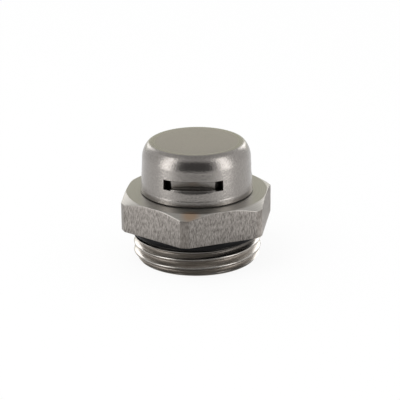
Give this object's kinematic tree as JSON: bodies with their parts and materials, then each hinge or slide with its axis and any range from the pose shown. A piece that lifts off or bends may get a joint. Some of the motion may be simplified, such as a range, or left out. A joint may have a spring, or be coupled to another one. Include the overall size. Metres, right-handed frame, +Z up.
{
  "type": "breather vent cap",
  "caption": "Screw-in stainless breather vent with hex plug body, rubber sealing ring, slotted drawn cap and a spring-loaded valve that lets pressure out.",
  "frame": {"origin": "centre of the thread's end face, on the part's axis", "axes": "+Z up along the thread axis through the cap; -Y faces the camera of the picture, with one vent slot in front"},
  "size_m": [0.0256, 0.0268, 0.0206],
  "materials": {
    "turned_steel": "machined stainless steel",
    "black_rubber": "smooth black nitrile rubber",
    "drawn_steel": "satin drawn stainless sheet",
    "valve_steel": "turned stainless steel",
    "seal_rubber": "matt black rubber",
    "spring_steel": "drawn stainless spring wire"
  },
  "bodies": {
    "plug": {"plug_body": "turned_steel", "sealing_ring": "black_rubber"},
    "cap": {"vent_cap": "drawn_steel"},
    "valve": {"valve_plate": "valve_steel", "valve_seal": "seal_rubber", "valve_spring": "spring_steel"}
  },
  "joints": [
    {"name": "cap_turn", "type": "hinge", "parent": "plug", "child": "cap", "pos_m": [0, 0, 0.012], "axis": [0, 0, 1], "continuous": true},
    {"name": "valve_lift", "type": "slide", "parent": "plug", "child": "valve", "axis": [0, 0, 1], "range_m": [0, 0.00195], "stiffness_N_per_m": 600, "springref_m": -0.002, "deforming": ["valve_spring"]}
  ]
}
